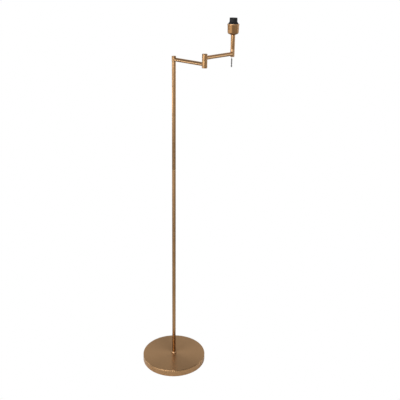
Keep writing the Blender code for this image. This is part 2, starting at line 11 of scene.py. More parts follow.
import bmesh
import bpy
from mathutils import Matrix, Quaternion, Vector


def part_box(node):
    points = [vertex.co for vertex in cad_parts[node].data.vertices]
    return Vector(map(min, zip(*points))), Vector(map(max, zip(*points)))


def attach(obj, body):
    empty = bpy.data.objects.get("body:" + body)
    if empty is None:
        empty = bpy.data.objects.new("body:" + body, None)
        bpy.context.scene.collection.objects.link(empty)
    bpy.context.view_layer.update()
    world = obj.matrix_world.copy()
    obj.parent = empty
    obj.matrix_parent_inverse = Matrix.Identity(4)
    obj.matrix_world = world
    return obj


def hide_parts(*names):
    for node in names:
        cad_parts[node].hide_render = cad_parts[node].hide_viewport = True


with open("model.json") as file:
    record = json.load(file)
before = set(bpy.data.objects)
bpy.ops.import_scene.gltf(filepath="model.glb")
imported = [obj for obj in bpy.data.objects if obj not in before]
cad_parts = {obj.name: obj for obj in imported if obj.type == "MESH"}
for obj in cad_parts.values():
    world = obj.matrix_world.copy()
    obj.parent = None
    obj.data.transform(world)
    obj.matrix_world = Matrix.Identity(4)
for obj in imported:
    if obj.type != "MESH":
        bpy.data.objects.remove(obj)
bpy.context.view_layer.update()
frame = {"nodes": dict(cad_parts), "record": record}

MM = 0.001
SHARP = 32.0  # degrees between faces, from where an edge is shaded sharp
BODY_OF = {node: body for body, nodes in frame["record"]["behaviour"]["bodies"].items() for node in nodes}
SLOT_OF = {part["node"]: part["material_slot"] for part in frame["record"]["subparts"]}

# Radii of the bores and cavities inside the boxes
ROD_HOLE = 4.4 * MM
POLE_BORE = 6.8 * MM
ARM_BORE = 6.3 * MM
STEM_BORE = 7.1 * MM
SHOULDER_CAVITY = 7.2 * MM
MIDDLE_CAVITY = 8.3 * MM
END_CAVITY = 7.4 * MM
SOCKET_BORE = 13.9 * MM
PULL_BORE = 0.95 * MM

# Thicknesses
COVER_WALL = 1.5 * MM
CUP_WALL = 1.4 * MM
SHOULDER_WEB = 3.4 * MM
MIDDLE_WEB = 4.6 * MM
CAP_DEPTH = 2.2 * MM
COPE_GAP = 0.35 * MM

# Camera
CAMERA_AT = (0.1132, -2.4300, 1.7215)
CAMERA_PITCH = math.radians(20.516)
CAMERA_ROLL = math.radians(0.904)
CAMERA_LENS = 53.82
CAMERA_SENSOR = 36.0

# Studio: how bright its walls are at a bearing, in degrees round to the right from the camera's side,
# and how the room darkens towards the ceiling, by the upward part of the direction
WALL_STEPS = (
    (-180, 1.00),
    (-148, 0.95),
    (-125, 0.50),
    (-104, 0.46),
    (-84, 0.58),
    (-75, 0.90),
    (-68, 1.90),
    (-40, 1.90),
    (-32, 0.90),
    (-16, 0.62),
    (20, 0.62),
    (45, 0.74),
    (68, 0.70),
    (94, 0.60),
    (120, 0.62),
    (145, 0.72),
    (180, 1.00),
)
CEILING_STEPS = ((0.0, 1.0), (0.42, 1.0), (0.60, 0.72), (0.70, 0.38), (1.0, 0.22))
# The floor as the lamp mirrors it: a painted pool of light near the lamp, painted shade further out
FLOOR_PAINTED_LIT = (0.94, 0.93, 0.92)
FLOOR_PAINTED_DIM = (0.70, 0.69, 0.675)
FLOOR_HALF = 2.4
FLOOR_DROP = 0.2 * MM
WHITE = (1.0, 1.0, 1.0)
BLACK = (0.0, 0.0, 0.0)

# Bronze: linear colours from its darkest to its lightest, and how many brush marks a metre holds. A piece's
# tone between them is partly painted light and shade, and worn places and painted highlights take the
# lightest
BRONZE_DARK = (0.262, 0.136, 0.052)
BRONZE_MID = (0.366, 0.209, 0.095)
BRONZE_LIGHT = (0.480, 0.292, 0.152)
FINE_MARKS = 5200.0
BROAD_MARKS = 620.0


# Places -------------------------------------------------------------------------------------------


def axis_of(node):
    """The upright axis through the middle of a node, as a point at floor level."""
    low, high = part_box(node)
    return Vector(((low.x + high.x) / 2, (low.y + high.y) / 2, 0.0))


def span(node):
    """A node's lowest and highest height."""
    low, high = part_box(node)
    return low.z, high.z


def radius_of(node):
    low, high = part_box(node)
    return (high.x - low.x) / 2


POLE = Vector((0.0, 0.0, 0.0))
MIDDLE = axis_of("mid_top_cap")
END = axis_of("lampholder_cup")
PULL = axis_of("pull_sleeve")


# Materials ----------------------------------------------------------------------------------------


class Nodes:
    """A node tree under construction, with short calls for its nodes."""

    def __init__(self, tree):
        self.tree = tree

    def link(self, output, node_input):
        self.tree.links.new(output, node_input)

    def node(self, kind, **settings):
        made = self.tree.nodes.new(kind)
        for key, value in settings.items():
            setattr(made, key, value)
        return made

    def math(self, operation, first, second=None):
        made = self.node("ShaderNodeMath", operation=operation)
        for place, value in enumerate((first, second)):
            if isinstance(value, (int, float)):
                made.inputs[place].default_value = value
            elif value is not None:
                self.link(value, made.inputs[place])
        return made.outputs[0]

    def vector(self, operation, first, second=None, scale=None):
        made = self.node("ShaderNodeVectorMath", operation=operation)
        for place, value in enumerate((first, second)):
            if isinstance(value, tuple):
                made.inputs[place].default_value = value
            elif value is not None:
                self.link(value, made.inputs[place])
        if scale is not None:
            made.inputs["Scale"].default_value = scale
        return made.outputs["Value"] if operation == "LENGTH" else made.outputs["Vector"]

    def place(self, kind="Object"):
        return self.node("ShaderNodeTexCoord").outputs[kind]

    def split(self, vector):
        made = self.node("ShaderNodeSeparateXYZ")
        self.link(vector, made.inputs[0])
        return made.outputs

    def join(self, x, y, z):
        made = self.node("ShaderNodeCombineXYZ")
        for place, value in enumerate((x, y, z)):
            if isinstance(value, (int, float)):
                made.inputs[place].default_value = value
            else:
                self.link(value, made.inputs[place])
        return made.outputs[0]

    def noise(self, vector, scale, detail, roughness=0.55):
        made = self.node("ShaderNodeTexNoise")
        made.inputs["Scale"].default_value = scale
        made.inputs["Detail"].default_value = detail
        made.inputs["Roughness"].default_value = roughness
        self.link(vector, made.inputs["Vector"])
        return made.outputs["Fac"]

    def ramp(self, fac, stops):
        """A colour ramp through (position, colour or grey) stops."""
        made = self.node("ShaderNodeValToRGB")
        elements = made.color_ramp.elements
        while len(elements) < len(stops):
            elements.new(0.5)
        for element, (position, value) in zip(elements, stops):
            element.position = position
            element.color = (*value, 1.0) if isinstance(value, tuple) else (value, value, value, 1.0)
        self.link(fac, made.inputs["Fac"])
        return made.outputs["Color"]

    def mix(self, fac, first, second, blend="MIX"):
        made = self.node("ShaderNodeMix", data_type="RGBA", blend_type=blend)
        for key, value in (("Factor", fac), ("A", first), ("B", second)):
            socket = next(s for s in made.inputs if s.name == key and s.enabled)
            if isinstance(value, tuple):
                socket.default_value = (*value, 1.0)
            elif isinstance(value, (int, float)):
                socket.default_value = value
            else:
                self.link(value, socket)
        return next(s for s in made.outputs if s.enabled)


class Finish(Nodes):
    """A Principled material and the nodes that drive it."""

    def __init__(self, name, colour, roughness, metallic=0.0, **inputs):
        self.material = bpy.data.materials.new(name)
        self.material.use_nodes = True
        super().__init__(self.material.node_tree)
        self.shader = self.tree.nodes["Principled BSDF"]
        self.set("Base Color", (*colour, 1.0))
        self.set("Roughness", roughness)
        self.set("Metallic", metallic)
        for key, value in inputs.items():
            self.set(key.replace("_", " "), value)

    def set(self, key, value):
        self.shader.inputs[key].default_value = value

    def bump(self, height, strength, distance, under=None):
        made = self.node("ShaderNodeBump")
        made.inputs["Strength"].default_value = strength
        made.inputs["Distance"].default_value = distance
        self.link(height, made.inputs["Height"])
        if under is not None:
            self.link(under, made.inputs["Normal"])
        return made.outputs["Normal"]

    def drive(self, key, output):
        self.link(output, self.shader.inputs[key])


def brushing(finish, way):
    """Coordinates in which a noise draws out into brush lines: round the axis, or along it."""
    at = finish.place()
    x, y, z = finish.split(at)
    flat = finish.join(x, y, 0.0)
    if way == "along":
        return finish.join(x, y, finish.math("MULTIPLY", z, 0.02))
    radius = finish.vector("LENGTH", flat)
    around = finish.vector("SCALE", finish.vector("NORMALIZE", flat), scale=0.0012)
    rise = finish.join(0.0, 0.0, finish.math("ADD", radius, z))
    return finish.vector("ADD", around, rise)


def bronze(name, way, ends, length, tone_and_painted_light, blur=0.17, rim=0.0, rim_wear_and_highlight=0.45, polish=0.17):
    """Brushed, lacquered antique bronze. way is round or along. Within ends metres of the piece's two
    ends, along a piece of this length, the metal is lighter: partly lacquer rubbed through to brighter metal,
    partly a painted highlight. The argument after length moves the whole piece between the dark and the light
    bronze: partly its own tone, partly painted light and shade, a lighter or darker copy of the bronze for
    how light falls on that piece. blur is the least roughness. From near rim metres off the axis outwards,
    the metal is brighter, partly by wear and partly by a painted highlight, and smoother by polish."""
    made = Finish(name, BRONZE_MID, 0.34, 1.0)
    lines = brushing(made, way)
    at = made.place()
    fine = made.noise(lines, FINE_MARKS, 2.0)
    broad = made.noise(lines, BROAD_MARKS, 3.0)
    patina = made.noise(at, 22.0, 4.0, 0.6)
    specks = made.noise(at, 900.0, 2.0)

    tone = made.math("ADD", made.math("MULTIPLY", fine, 0.34), made.math("MULTIPLY", broad, 0.36))
    tone = made.math("ADD", tone, made.math("MULTIPLY", patina, 0.30))
    # Each piece's tone, partly its own and partly painted light and shade: a lighter or darker copy of the
    # bronze
    shift = 0.35 * (0.5 - tone_and_painted_light)
    stops = ((0.20, BRONZE_DARK), (0.50, BRONZE_MID), (0.80, BRONZE_LIGHT))
    colour = made.ramp(tone, [(position + shift, value) for position, value in stops])
    pits = made.ramp(specks, ((0.24, 0.80), (0.31, 1.0)))
    colour = made.mix(0.4, colour, pits, "MULTIPLY")
    roughness = made.math("ADD", made.math("MULTIPLY", tone, 0.20), made.math("MULTIPLY", patina, 0.10))
    roughness = made.math("ADD", roughness, blur)

    # Lighter towards both ends: partly lacquer rubbed through, partly a painted highlight
    _, _, along = made.split(made.place("Generated"))
    nearest = made.math("MINIMUM", along, made.math("SUBTRACT", 1.0, along))
    nearest = made.math("MULTIPLY", nearest, length / ends)
    ragged = made.math("ADD", nearest, made.math("MULTIPLY", made.noise(at, 260.0, 4.0), 1.2))
    wear_and_painted_highlight = made.ramp(ragged, ((0.55, 1.0), (0.98, 0.0)))
    colour = made.mix(made.math("MULTIPLY", wear_and_painted_highlight, 0.55), colour, BRONZE_LIGHT)
    roughness = made.math("SUBTRACT", roughness, made.math("MULTIPLY", wear_and_painted_highlight, 0.06))
    # Lighter and smoother towards the rim: partly real wear, partly a painted highlight
    if rim:
        x, y, _ = made.split(at)
        squares = made.math("ADD", made.math("MULTIPLY", x, x), made.math("MULTIPLY", y, y))
        edge = made.ramp(made.math("DIVIDE", squares, rim * rim), ((0.955, 0.0), (0.975, 1.0)))
        colour = made.mix(made.math("MULTIPLY", edge, rim_wear_and_highlight), colour, BRONZE_LIGHT)
        roughness = made.math("SUBTRACT", roughness, made.math("MULTIPLY", edge, polish))

    made.drive("Base Color", colour)
    made.drive("Roughness", roughness)
    made.drive("Normal", made.bump(fine, 0.06, 0.00005, made.bump(broad, 0.025, 0.0002)))
    made.set("Anisotropic", 0.80 - 0.9 * max(blur - 0.17, 0.0) if way == "round" else 0.25)
    made.set("Anisotropic Rotation", 0.25 if way == "round" else 0.0)
    made.drive("Tangent", made.node("ShaderNodeTangent", direction_type="RADIAL", axis="Z").outputs[0])
    made.set("Specular Tint", (0.97, 0.93, 0.88, 1.0))
    made.set("Coat Weight", 0.05)
    made.set("Coat Roughness", 0.25)
    return made.material


def plated(name, dark, light, roughness):
    """Bright or dull plating with faint turning marks and handling haze."""
    made = Finish(name, dark, roughness, 1.0)
    lines = made.noise(brushing(made, "round"), 4200.0, 2.0)
    haze = made.noise(made.place(), 90.0, 4.0)
    tone = made.math("ADD", made.math("MULTIPLY", lines, 0.5), made.math("MULTIPLY", haze, 0.5))
    made.drive("Base Color", made.ramp(tone, ((0.25, dark), (0.75, light))))
    made.drive("Roughness", made.math("ADD", made.math("MULTIPLY", haze, 0.18), roughness - 0.08))
    made.drive("Normal", made.bump(lines, 0.15, 0.00005))
    made.set("Anisotropic", 0.35)
    return made.material


def moulded(name, dark, light, roughness, grain, depth, gloss=0.5):
    """Moulded plastic or rubber: a fine eroded grain, with slow changes of gloss where it is handled."""
    made = Finish(name, dark, roughness, 0.0)
    made.set("Specular IOR Level", gloss)
    at = made.place()
    fine = made.noise(at, grain, 4.0, 0.6)
    slow = made.noise(at, 70.0, 3.0)
    made.drive("Base Color", made.ramp(slow, ((0.3, dark), (0.75, light))))
    made.drive("Roughness", made.math("ADD", made.math("MULTIPLY", slow, 0.16), roughness - 0.08))
    made.drive("Normal", made.bump(fine, 0.35, depth))
    return made.material


def felt(name):
    """Pressed wool felt: matted fibres in two directions, with pale lint."""
    made = Finish(name, (0.02, 0.02, 0.02), 0.96, 0.0, Sheen_Weight=0.5, Sheen_Roughness=0.6)
    at = made.place()
    one = made.noise(made.vector("MULTIPLY", at, (1.0, 0.12, 1.0)), 2600.0, 3.0)
    two = made.noise(made.vector("MULTIPLY", at, (0.12, 1.0, 1.0)), 2600.0, 3.0)
    mat = made.math("MAXIMUM", one, two)
    clouds = made.noise(at, 60.0, 3.0)
    tone = made.math("ADD", made.math("MULTIPLY", mat, 0.7), made.math("MULTIPLY", clouds, 0.3))
    stops = ((0.35, (0.012, 0.012, 0.012)), (0.62, (0.040, 0.038, 0.036)), (0.80, (0.11, 0.105, 0.10)))
    made.drive("Base Color", made.ramp(tone, stops))
    made.drive("Normal", made.bump(mat, 0.8, 0.0004))
    return made.material


def cast_iron(name):
    """Sand-cast iron with a thin coat of black primer, pitted and rusting in spots."""
    made = Finish(name, (0.05, 0.05, 0.05), 0.7, 0.35)
    at = made.place()
    sand = made.noise(at, 900.0, 5.0, 0.7)
    spots = made.ramp(made.noise(at, 60.0, 5.0, 0.65), ((0.60, 0.0), (0.72, 1.0)))
    primer = made.ramp(sand, ((0.3, (0.030, 0.030, 0.031)), (0.7, (0.085, 0.085, 0.088))))
    made.drive("Base Color", made.mix(spots, primer, (0.16, 0.065, 0.025)))
    made.drive("Roughness", made.math("ADD", made.math("MULTIPLY", sand, 0.3), 0.5))
    made.drive("Normal", made.bump(sand, 0.9, 0.0006))
    return made.material


# The finish of each material slot except bronze, whose pieces each have their own
FINISHES = {
    "zinc_steel": lambda: plated("zinc_steel", (0.46, 0.47, 0.49), (0.68, 0.69, 0.69), 0.34),
    "raw_brass": lambda: plated("raw_brass", (0.58, 0.40, 0.16), (0.80, 0.62, 0.32), 0.30),
    "dark_nickel": lambda: plated("dark_nickel", (0.10, 0.098, 0.096), (0.17, 0.167, 0.162), 0.34),
    "cast_iron": lambda: cast_iron("cast_iron"),
    "felt": lambda: felt("felt"),
    "rubber": lambda: moulded("rubber", (0.016, 0.016, 0.016), (0.030, 0.030, 0.029), 0.72, 1500.0, 0.0002),
    "black_plastic": lambda: moulded(
        "black_plastic", (0.010, 0.010, 0.0102), (0.017, 0.017, 0.0174), 0.46, 2600.0, 0.00008, 0.12
    ),
    "ceramic": lambda: moulded("ceramic", (0.66, 0.63, 0.56), (0.78, 0.76, 0.70), 0.26, 700.0, 0.00006, 0.6),
    "wire_sleeve": lambda: moulded(
        "wire_sleeve", (0.50, 0.47, 0.41), (0.62, 0.59, 0.53), 0.5, 1200.0, 0.00008
    ),
}
MADE = {}


def finish_for(slot):
    """A slot's finish, made once and shared."""
    if slot not in MADE:
        MADE[slot] = FINISHES[slot]()
    return MADE[slot]


# Shapes -------------------------------------------------------------------------------------------


def rounded(corners, steps):
    """A turned outline from (radius, height, fillet) corners, its sharp corners eased into arcs."""
    points = []
    for i, (radius, height, fillet) in enumerate(corners):
        here = Vector((radius, height))
        before = Vector(corners[i - 1][:2]) - here
        after = Vector(corners[(i + 1) % len(corners)][:2]) - here
        angle = before.angle(after) if before.length and after.length else math.pi
        if fillet <= 0.0 or angle > math.radians(178):
            points.append(here)
            continue
        reach = min(fillet / math.tan(angle / 2), before.length * 0.49, after.length * 0.49)
        start, end = here + before.normalized() * reach, here + after.normalized() * reach
        centre = here + (before.normalized() + after.normalized()).normalized() * (
            reach * math.tan(angle / 2) / math.sin(angle / 2)
        )
        first, last = start - centre, end - centre
        for step in range(steps + 1):
            blend = first.lerp(last, step / steps)
            points.append(centre + blend.normalized() * first.length)
    return [(p.x, p.y) for p in points]


def ring_mesh(rings, closed):
    """Faces between rings of vertices of equal count. A ring of one vertex is a point on the axis."""
    bm = bmesh.new()
    rows = [[bm.verts.new(place) for place in ring] for ring in rings]
    pairs = list(zip(rows, rows[1:]))
    if closed:
        pairs.append((rows[-1], rows[0]))
    for one, two in pairs:
        count = max(len(one), len(two))
        for i in range(count):
            j = (i + 1) % count
            corners = [one[i % len(one)], one[j % len(one)], two[j % len(two)], two[i % len(two)]]
            unique = [v for k, v in enumerate(corners) if v not in corners[:k]]
            if len(unique) > 2:
                bm.faces.new(unique)
    bmesh.ops.recalc_face_normals(bm, faces=bm.faces)
    return bm


def object_of(name, bm, at, sharp=SHARP):
    mesh = bpy.data.meshes.new(name)
    bm.to_mesh(mesh)
    bm.free()
    mesh.shade_smooth()
    mesh.set_sharp_from_angle(angle=math.radians(sharp))
    obj = bpy.data.objects.new(name, mesh)
    bpy.context.scene.collection.objects.link(obj)
    obj.location = at
    return obj


def lathe(name, outline, at, segments, bulge=None):
    """Turns (radius, height) points about the upright axis through at, which becomes the origin.
    bulge(angle, radius, height) is added to the radius."""
    rings = []
    for radius, height in outline:
        if radius < 1e-6:
            rings.append([(0.0, 0.0, height - at.z)])
            continue
        ring = []
        for i in range(segments):
            angle = math.tau * i / segments
            reach = radius + (bulge(angle, radius, height) if bulge else 0.0)
            ring.append((reach * math.cos(angle), reach * math.sin(angle), height - at.z))
        rings.append(ring)
    return object_of(name, ring_mesh(rings, outline[0][0] > 1e-6), at)


def stands_for(obj, node, material=None):
    """Gives a piece its finish, and puts it on the body of the node that it replaces."""
    slot = SLOT_OF[node]
    obj.data.materials.append(material or finish_for(slot))
    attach(obj, BODY_OF[node])
    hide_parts(node)


def origin(axis, node):
    """A point on an axis, at the middle height of a node."""
    low, high = span(node)
    return Vector((axis.x, axis.y, (low + high) / 2))


def tube(node, name, axis, inner, ease, segments, material=None):
    """A plain tube or washer with eased edges, the height of its node."""
    low, high = span(node)
    outer = radius_of(node)
    outline = rounded([(outer, high, ease), (outer, low, ease), (inner, low, ease), (inner, high, ease)], 3)
    stands_for(lathe(name, outline, origin(axis, node), segments), node, material)


def bored(obj, radius, start, end):
    """Drills a round hole through a piece and applies it."""
    bm = bmesh.new()
    bmesh.ops.create_cone(
        bm, segments=48, radius1=radius, radius2=radius, depth=(end - start).length, cap_ends=True
    )
    drill = object_of("drill", bm, (start + end) / 2)
    drill.rotation_mode = "QUATERNION"
    drill.rotation_quaternion = (end - start).to_track_quat("Z", "Y")
    modifier = obj.modifiers.new("bore", "BOOLEAN")
    modifier.object = drill
    bpy.context.view_layer.update()
    graph = bpy.context.evaluated_depsgraph_get()
    mesh = bpy.data.meshes.new_from_object(obj.evaluated_get(graph))
    obj.modifiers.clear()
    old = obj.data
    obj.data = mesh
    obj.data.name = obj.name
    bpy.data.meshes.remove(old)
    bpy.data.objects.remove(drill)
    obj.data.set_sharp_from_angle(angle=math.radians(SHARP))


# Base and pole ------------------------------------------------------------------------------------


def make_base():
    """The spun cover of the base, with a hole in its rear wall for the cable inlet."""
    low, high = span("base_cover")
    outer, wall, hole = radius_of("base_cover"), COVER_WALL, 5.4 * MM
    corners = [
        (hole, high, 0.2 * MM),
        (outer, high, 3.6 * MM),
        (outer, low + 0.9 * MM, 0.5 * MM),
        (outer - 0.5 * MM, low, 0.3 * MM),
        (outer - wall, low, 0.3 * MM),
        (outer - wall, high - wall, 1.3 * MM),
        (hole, high - wall, 0.0),
    ]
    cover = lathe("base_cover_spun", rounded(corners, 8), origin(POLE, "base_cover"), 256)
    inlet_low, inlet_high = span("cable_grommet")
    inlet_z = (inlet_low + inlet_high) / 2
    inlet_hole, past = 4.6 * MM, 9 * MM
    bored(cover, inlet_hole, Vector((0.0, outer - past, inlet_z)), Vector((0.0, outer + past, inlet_z)))
    # The base's tone is partly painted light and shade, and its rim is lighter, partly wear and partly a
    # painted highlight
    finish = bronze("bronze_base", "round", 2.0 * MM, high - low, tone_and_painted_light=0.55, blur=0.31, rim=outer)
    stands_for(cover, "base_cover", finish)


def make_felt():
    """The felt pad underneath, with a slightly ragged cut edge."""
    low, high = span("felt_pad")
    outer, fuzz = radius_of("felt_pad"), 0.3 * MM
    corners = [(0.0, high, 0.0), (outer, high, 0.6 * MM), (outer, low, 0.9 * MM), (0.0, low, 0.0)]

    def ragged(angle, radius, height):
        return -fuzz * abs(math.sin(angle * 47) * math.sin(angle * 31))

    pad = lathe("felt_pad_cut", rounded(corners, 4), origin(POLE, "felt_pad"), 192, ragged)
    stands_for(pad, "felt_pad")


def make_grommet():
    """The rubber cable inlet: a lipped ring lying along Y in the base's rear wall."""
    low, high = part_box("cable_grommet")
    centre = (low + high) / 2
    lip = (high.x - low.x) / 2
    bore, neck = 2.9 * MM, 4.25 * MM
    back, front = high.y, low.y
    groove_out, groove_in = back - 1.8 * MM, front + 1.8 * MM
    corners = [
        (bore, back, 0.5 * MM),
        (lip - 0.8 * MM, back, 0.8 * MM),
        (lip, groove_out, 0.3 * MM),
        (neck, groove_out, 0.1 * MM),
        (neck, groove_in, 0.1 * MM),
        (lip - 0.6 * MM, groove_in, 0.3 * MM),
        (lip - 1.4 * MM, front, 0.4 * MM),
        (bore, front, 0.3 * MM),
    ]
    outline = rounded([(radius, along - centre.y, fillet) for radius, along, fillet in corners], 4)
    obj = lathe("cable_grommet_moulded", outline, Vector(), 64)
    obj.rotation_euler = (-math.pi / 2, 0.0, 0.0)
    obj.location = centre
    stands_for(obj, "cable_grommet")


def make_collar():
    """The chamfered collar at the pole's foot."""
    low, high = span("foot_collar")
    outer, bore, chamfer = radius_of("foot_collar"), 8.4 * MM, 3.2 * MM
    corners = [
        (bore, high, 0.4 * MM),
        (outer - chamfer, high, 0.4 * MM),
        (outer, high - chamfer, 0.5 * MM),
        (outer, low, 0.4 * MM),
        (bore, low, 0.2 * MM),
    ]
    collar = lathe("foot_collar_turned", rounded(corners, 6), origin(POLE, "foot_collar"), 96)
    # A lighter copy of the bronze: partly the collar's own tone, partly a painted highlight
    finish = bronze("bronze_collar", "along", 3.0 * MM, high - low, tone_and_painted_light=1.3, blur=0.34)
    stands_for(collar, "foot_collar", finish)


def make_pole():
    for node in ("lower_pole", "upper_pole"):
        low, high = span(node)
        # The pole's tone is partly its own, partly painted light and shade
        finish = bronze(f"bronze_{node}", "along", 5.0 * MM, high - low, tone_and_painted_light=0.55, blur=0.10)
        tube(node, f"{node}_drawn", POLE, POLE_BORE, 0.5 * MM, 64, finish)


def make_coupler():
    """The bush inside the pole's two tubes, with the thin flange that shows as their seam."""
    low, high = span("pole_coupler")
    middle = (span("lower_pole")[1] + span("upper_pole")[0]) / 2
    half, bush, bore = 0.5 * MM, 6.35 * MM, 3.5 * MM
    outer = radius_of("pole_coupler")
    corners = [
        (bore, high, 0.3 * MM),
        (bush, high, 0.8 * MM),
        (bush, middle + half, 0.0),
        (outer, middle + half, 0.15 * MM),
        (outer, middle - half, 0.15 * MM),
        (bush, middle - half, 0.0),
        (bush, low, 0.8 * MM),
        (bore, low, 0.3 * MM),
    ]
    coupler = lathe("pole_coupler_turned", rounded(corners, 4), origin(POLE, "pole_coupler"), 64)
    stands_for(coupler, "pole_coupler")


# Knuckles and arms --------------------------------------------------------------------------------


def knuckle(node, axis, radius, cavity, web=0.0, web_side=-1, tone_and_painted_light=0.5):
    """A hollow knuckle. web is how thick its floor is (web_side -1) or its ceiling (web_side 1), which
    the rod passes through."""
    low, high = span(node)
    ease, edge, corner = 0.6 * MM, 0.2 * MM, 0.3 * MM
    if not web:
        inside = [(cavity, low, edge), (cavity, high, edge)]
    elif web_side < 0:
        face = low + web
        inside = [(ROD_HOLE, low, edge), (ROD_HOLE, face, edge), (cavity, face, corner), (cavity, high, edge)]
    else:
        face = high - web
        inside = [(cavity, low, edge), (cavity, face, corner), (ROD_HOLE, face, edge), (ROD_HOLE, high, edge)]
    corners = [(radius, high, ease), (radius, low, ease), *inside]
    obj = lathe(f"{node}_turned", rounded(corners, 5), origin(axis, node), 96)
    # Each knuckle's tone is partly its own, partly painted light and shade
    finish = bronze(f"bronze_{node}", "round", 1.1 * MM, high - low, tone_and_painted_light)
    stands_for(obj, node, finish)


def cap(node, axis, radius, cavity, side, hole=None):
    """A shallow domed cap with its spigot. side is 1 on top and -1 underneath. hole is (axis, radius)."""
    low, high = span(node)
    outer, inner = (high, low) if side > 0 else (low, high)
    face = outer - side * CAP_DEPTH
    spigot = cavity - 0.45 * MM
    corners = [
        (0.0, outer, 0.0),
        (radius * 0.55, outer - side * 0.12 * MM, 1.5 * MM),
        (radius - 0.9 * MM, outer - side * 0.45 * MM, 0.8 * MM),
        (radius, outer - side * 1.1 * MM, 0.7 * MM),
        (radius, face, 0.25 * MM),
    ]
    if abs(inner - face) > 0.5 * MM:
        corners += [(spigot, face, 0.1 * MM), (spigot, inner, 0.4 * MM)]
    corners.append((0.0, inner, 0.0))
    obj = lathe(f"{node}_turned", rounded(corners, 5), origin(axis, node), 96)
    if hole:
        hole_axis, hole_radius = hole
        lower, upper = Vector((0.0, 0.0, low - 2 * MM)), Vector((0.0, 0.0, high + 2 * MM))
        bored(obj, hole_radius, hole_axis + lower, hole_axis + upper)
    # The cap's tone is partly its own, partly painted light and shade
    stands_for(obj, node, bronze(f"bronze_{node}", "round", 0.9 * MM, high - low, tone_and_painted_light=0.6))


def arm(node, start_axis, end_axis, start_r, end_r):
    """A drawn tube coped round the knuckle at each end, with a small brazed fillet there."""
    low, high = span(node)
    height, radius = (low + high) / 2, (high - low) / 2
    length = (end_axis - start_axis).length
    # The fillet: how far along the tube, and how far out, in millimetres
    flare = [(0.0, 0.95), (0.35, 0.72), (0.8, 0.45), (1.4, 0.22), (2.2, 0.07), (3.2, 0.0)]
    count = 96

    def ends(size, sine):
        across = size * sine
        near = math.sqrt((start_r + COPE_GAP) ** 2 - across**2)
        far = length - math.sqrt((end_r + COPE_GAP) ** 2 - across**2)
        return near, far

    def ring(size, step, side):
        points = []
        for i in range(count):
            angle = math.tau * i / count
            near, far = ends(size, math.sin(angle))
            along = near + step if side > 0 else far - step
            points.append((size * math.cos(angle), size * math.sin(angle), along))
        return points

    outside = [ring(radius + swell * MM, step * MM, 1) for step, swell in flare]
    outside += [ring(radius + swell * MM, step * MM, -1) for step, swell in reversed(flare)]
    rings = outside + [ring(ARM_BORE, 0.0, -1), ring(ARM_BORE, 0.0, 1)]
    obj = object_of(f"{node}_drawn", ring_mesh(rings, True), Vector())
    along = (end_axis - start_axis).normalized()
    upright = Quaternion((0.0, 1.0, 0.0), math.pi / 2)
    obj.rotation_mode = "QUATERNION"
    obj.rotation_quaternion = Quaternion((0.0, 0.0, 1.0), math.atan2(along.y, along.x)) @ upright
    obj.location = Vector((start_axis.x, start_axis.y, height))
    # The arm's tone is partly its own, partly painted light and shade
    finish = bronze(f"bronze_{node}", "along", 6.0 * MM, length, tone_and_painted_light=0.9, blur=0.07)
    stands_for(obj, node, finish)


def make_arms():
    """The swivels from the shoulder to the end knuckle, the two arms between them, and the stem."""
    shoulder_r, middle_r, end_r = (radius_of(n) for n in ("shoulder_cap", "mid_top_cap", "end_bottom_cap"))
    knuckle("shoulder_knuckle", POLE, shoulder_r, SHOULDER_CAVITY, SHOULDER_WEB)
    cap("shoulder_cap", POLE, shoulder_r, SHOULDER_CAVITY, 1)
    tube("shoulder_washer", "shoulder_washer_turned", POLE, ROD_HOLE, 0.1 * MM, 64)
    arm("lower_arm_tube", POLE, MIDDLE, shoulder_r, middle_r)

    knuckle("mid_knuckle_lower", MIDDLE, middle_r, MIDDLE_CAVITY, MIDDLE_WEB, 1, tone_and_painted_light=0.45)
    knuckle("mid_knuckle_upper", MIDDLE, middle_r, MIDDLE_CAVITY, MIDDLE_WEB, -1, tone_and_painted_light=0.45)
    cap("mid_top_cap", MIDDLE, middle_r, MIDDLE_CAVITY, 1)
    cap("mid_bottom_cap", MIDDLE, middle_r, MIDDLE_CAVITY, -1)
    tube("mid_friction_washer", "mid_friction_washer_turned", MIDDLE, ROD_HOLE, 0.1 * MM, 64)
    arm("upper_arm_tube", MIDDLE, END, middle_r, end_r)

    # The end knuckle is a lighter copy of the bronze: partly its own tone, partly a painted highlight
    knuckle("end_knuckle", END, end_r, END_CAVITY, tone_and_painted_light=1.4)
    cap("end_bottom_cap", END, end_r, END_CAVITY, -1, (PULL, 2.25 * MM))
    low, high = span("stem_tube")
    # The stem is a darker copy of the bronze: partly its own tone, partly painted shade
    finish = bronze("bronze_stem", "along", 2.0 * MM, high - low, tone_and_painted_light=0.4, blur=0.14)
    tube("stem_tube", "stem_tube_drawn", END, STEM_BORE, 0.5 * MM, 64, finish)


# Lampholder ---------------------------------------------------------------------------------------


def make_cup():
    """The spun cup, with a plain band round its rim."""
    low, high = span("lampholder_cup")
    rim, wall = radius_of("lampholder_cup"), CUP_WALL
    side, foot = rim - 0.7 * MM, 22.0 * MM
    corners = [
        (rim, high, 0.9 * MM),
        (rim, high - 3.5 * MM, 0.4 * MM),
        (side, high - 4.1 * MM, 0.2 * MM),
        (foot, low + 6.0 * MM, 7.0 * MM),
        (9.6 * MM, low, 0.8 * MM),
        (5.4 * MM, low, 0.2 * MM),
        (5.4 * MM, low + wall, 0.2 * MM),
        (9.4 * MM, low + wall, 0.5 * MM),
        (foot - wall, low + 7.2 * MM, 5.6 * MM),
        (side - wall, high - 5.0 * MM, 0.0),
        (side - wall, high, 0.7 * MM),
    ]
    cup = lathe("lampholder_cup_spun", rounded(corners, 7), origin(END, "lampholder_cup"), 128)
    # A darker copy of the bronze, painted shade, with its rim band and ends lighter, partly wear and partly a
    # painted highlight
    finish = bronze(
        "bronze_cup", "along", 18.0 * MM, high - low, tone_and_painted_light=-0.1, blur=0.07, rim=rim, rim_wear_and_highlight=0.8, polish=-0.20
    )
    stands_for(cup, "lampholder_cup", finish)


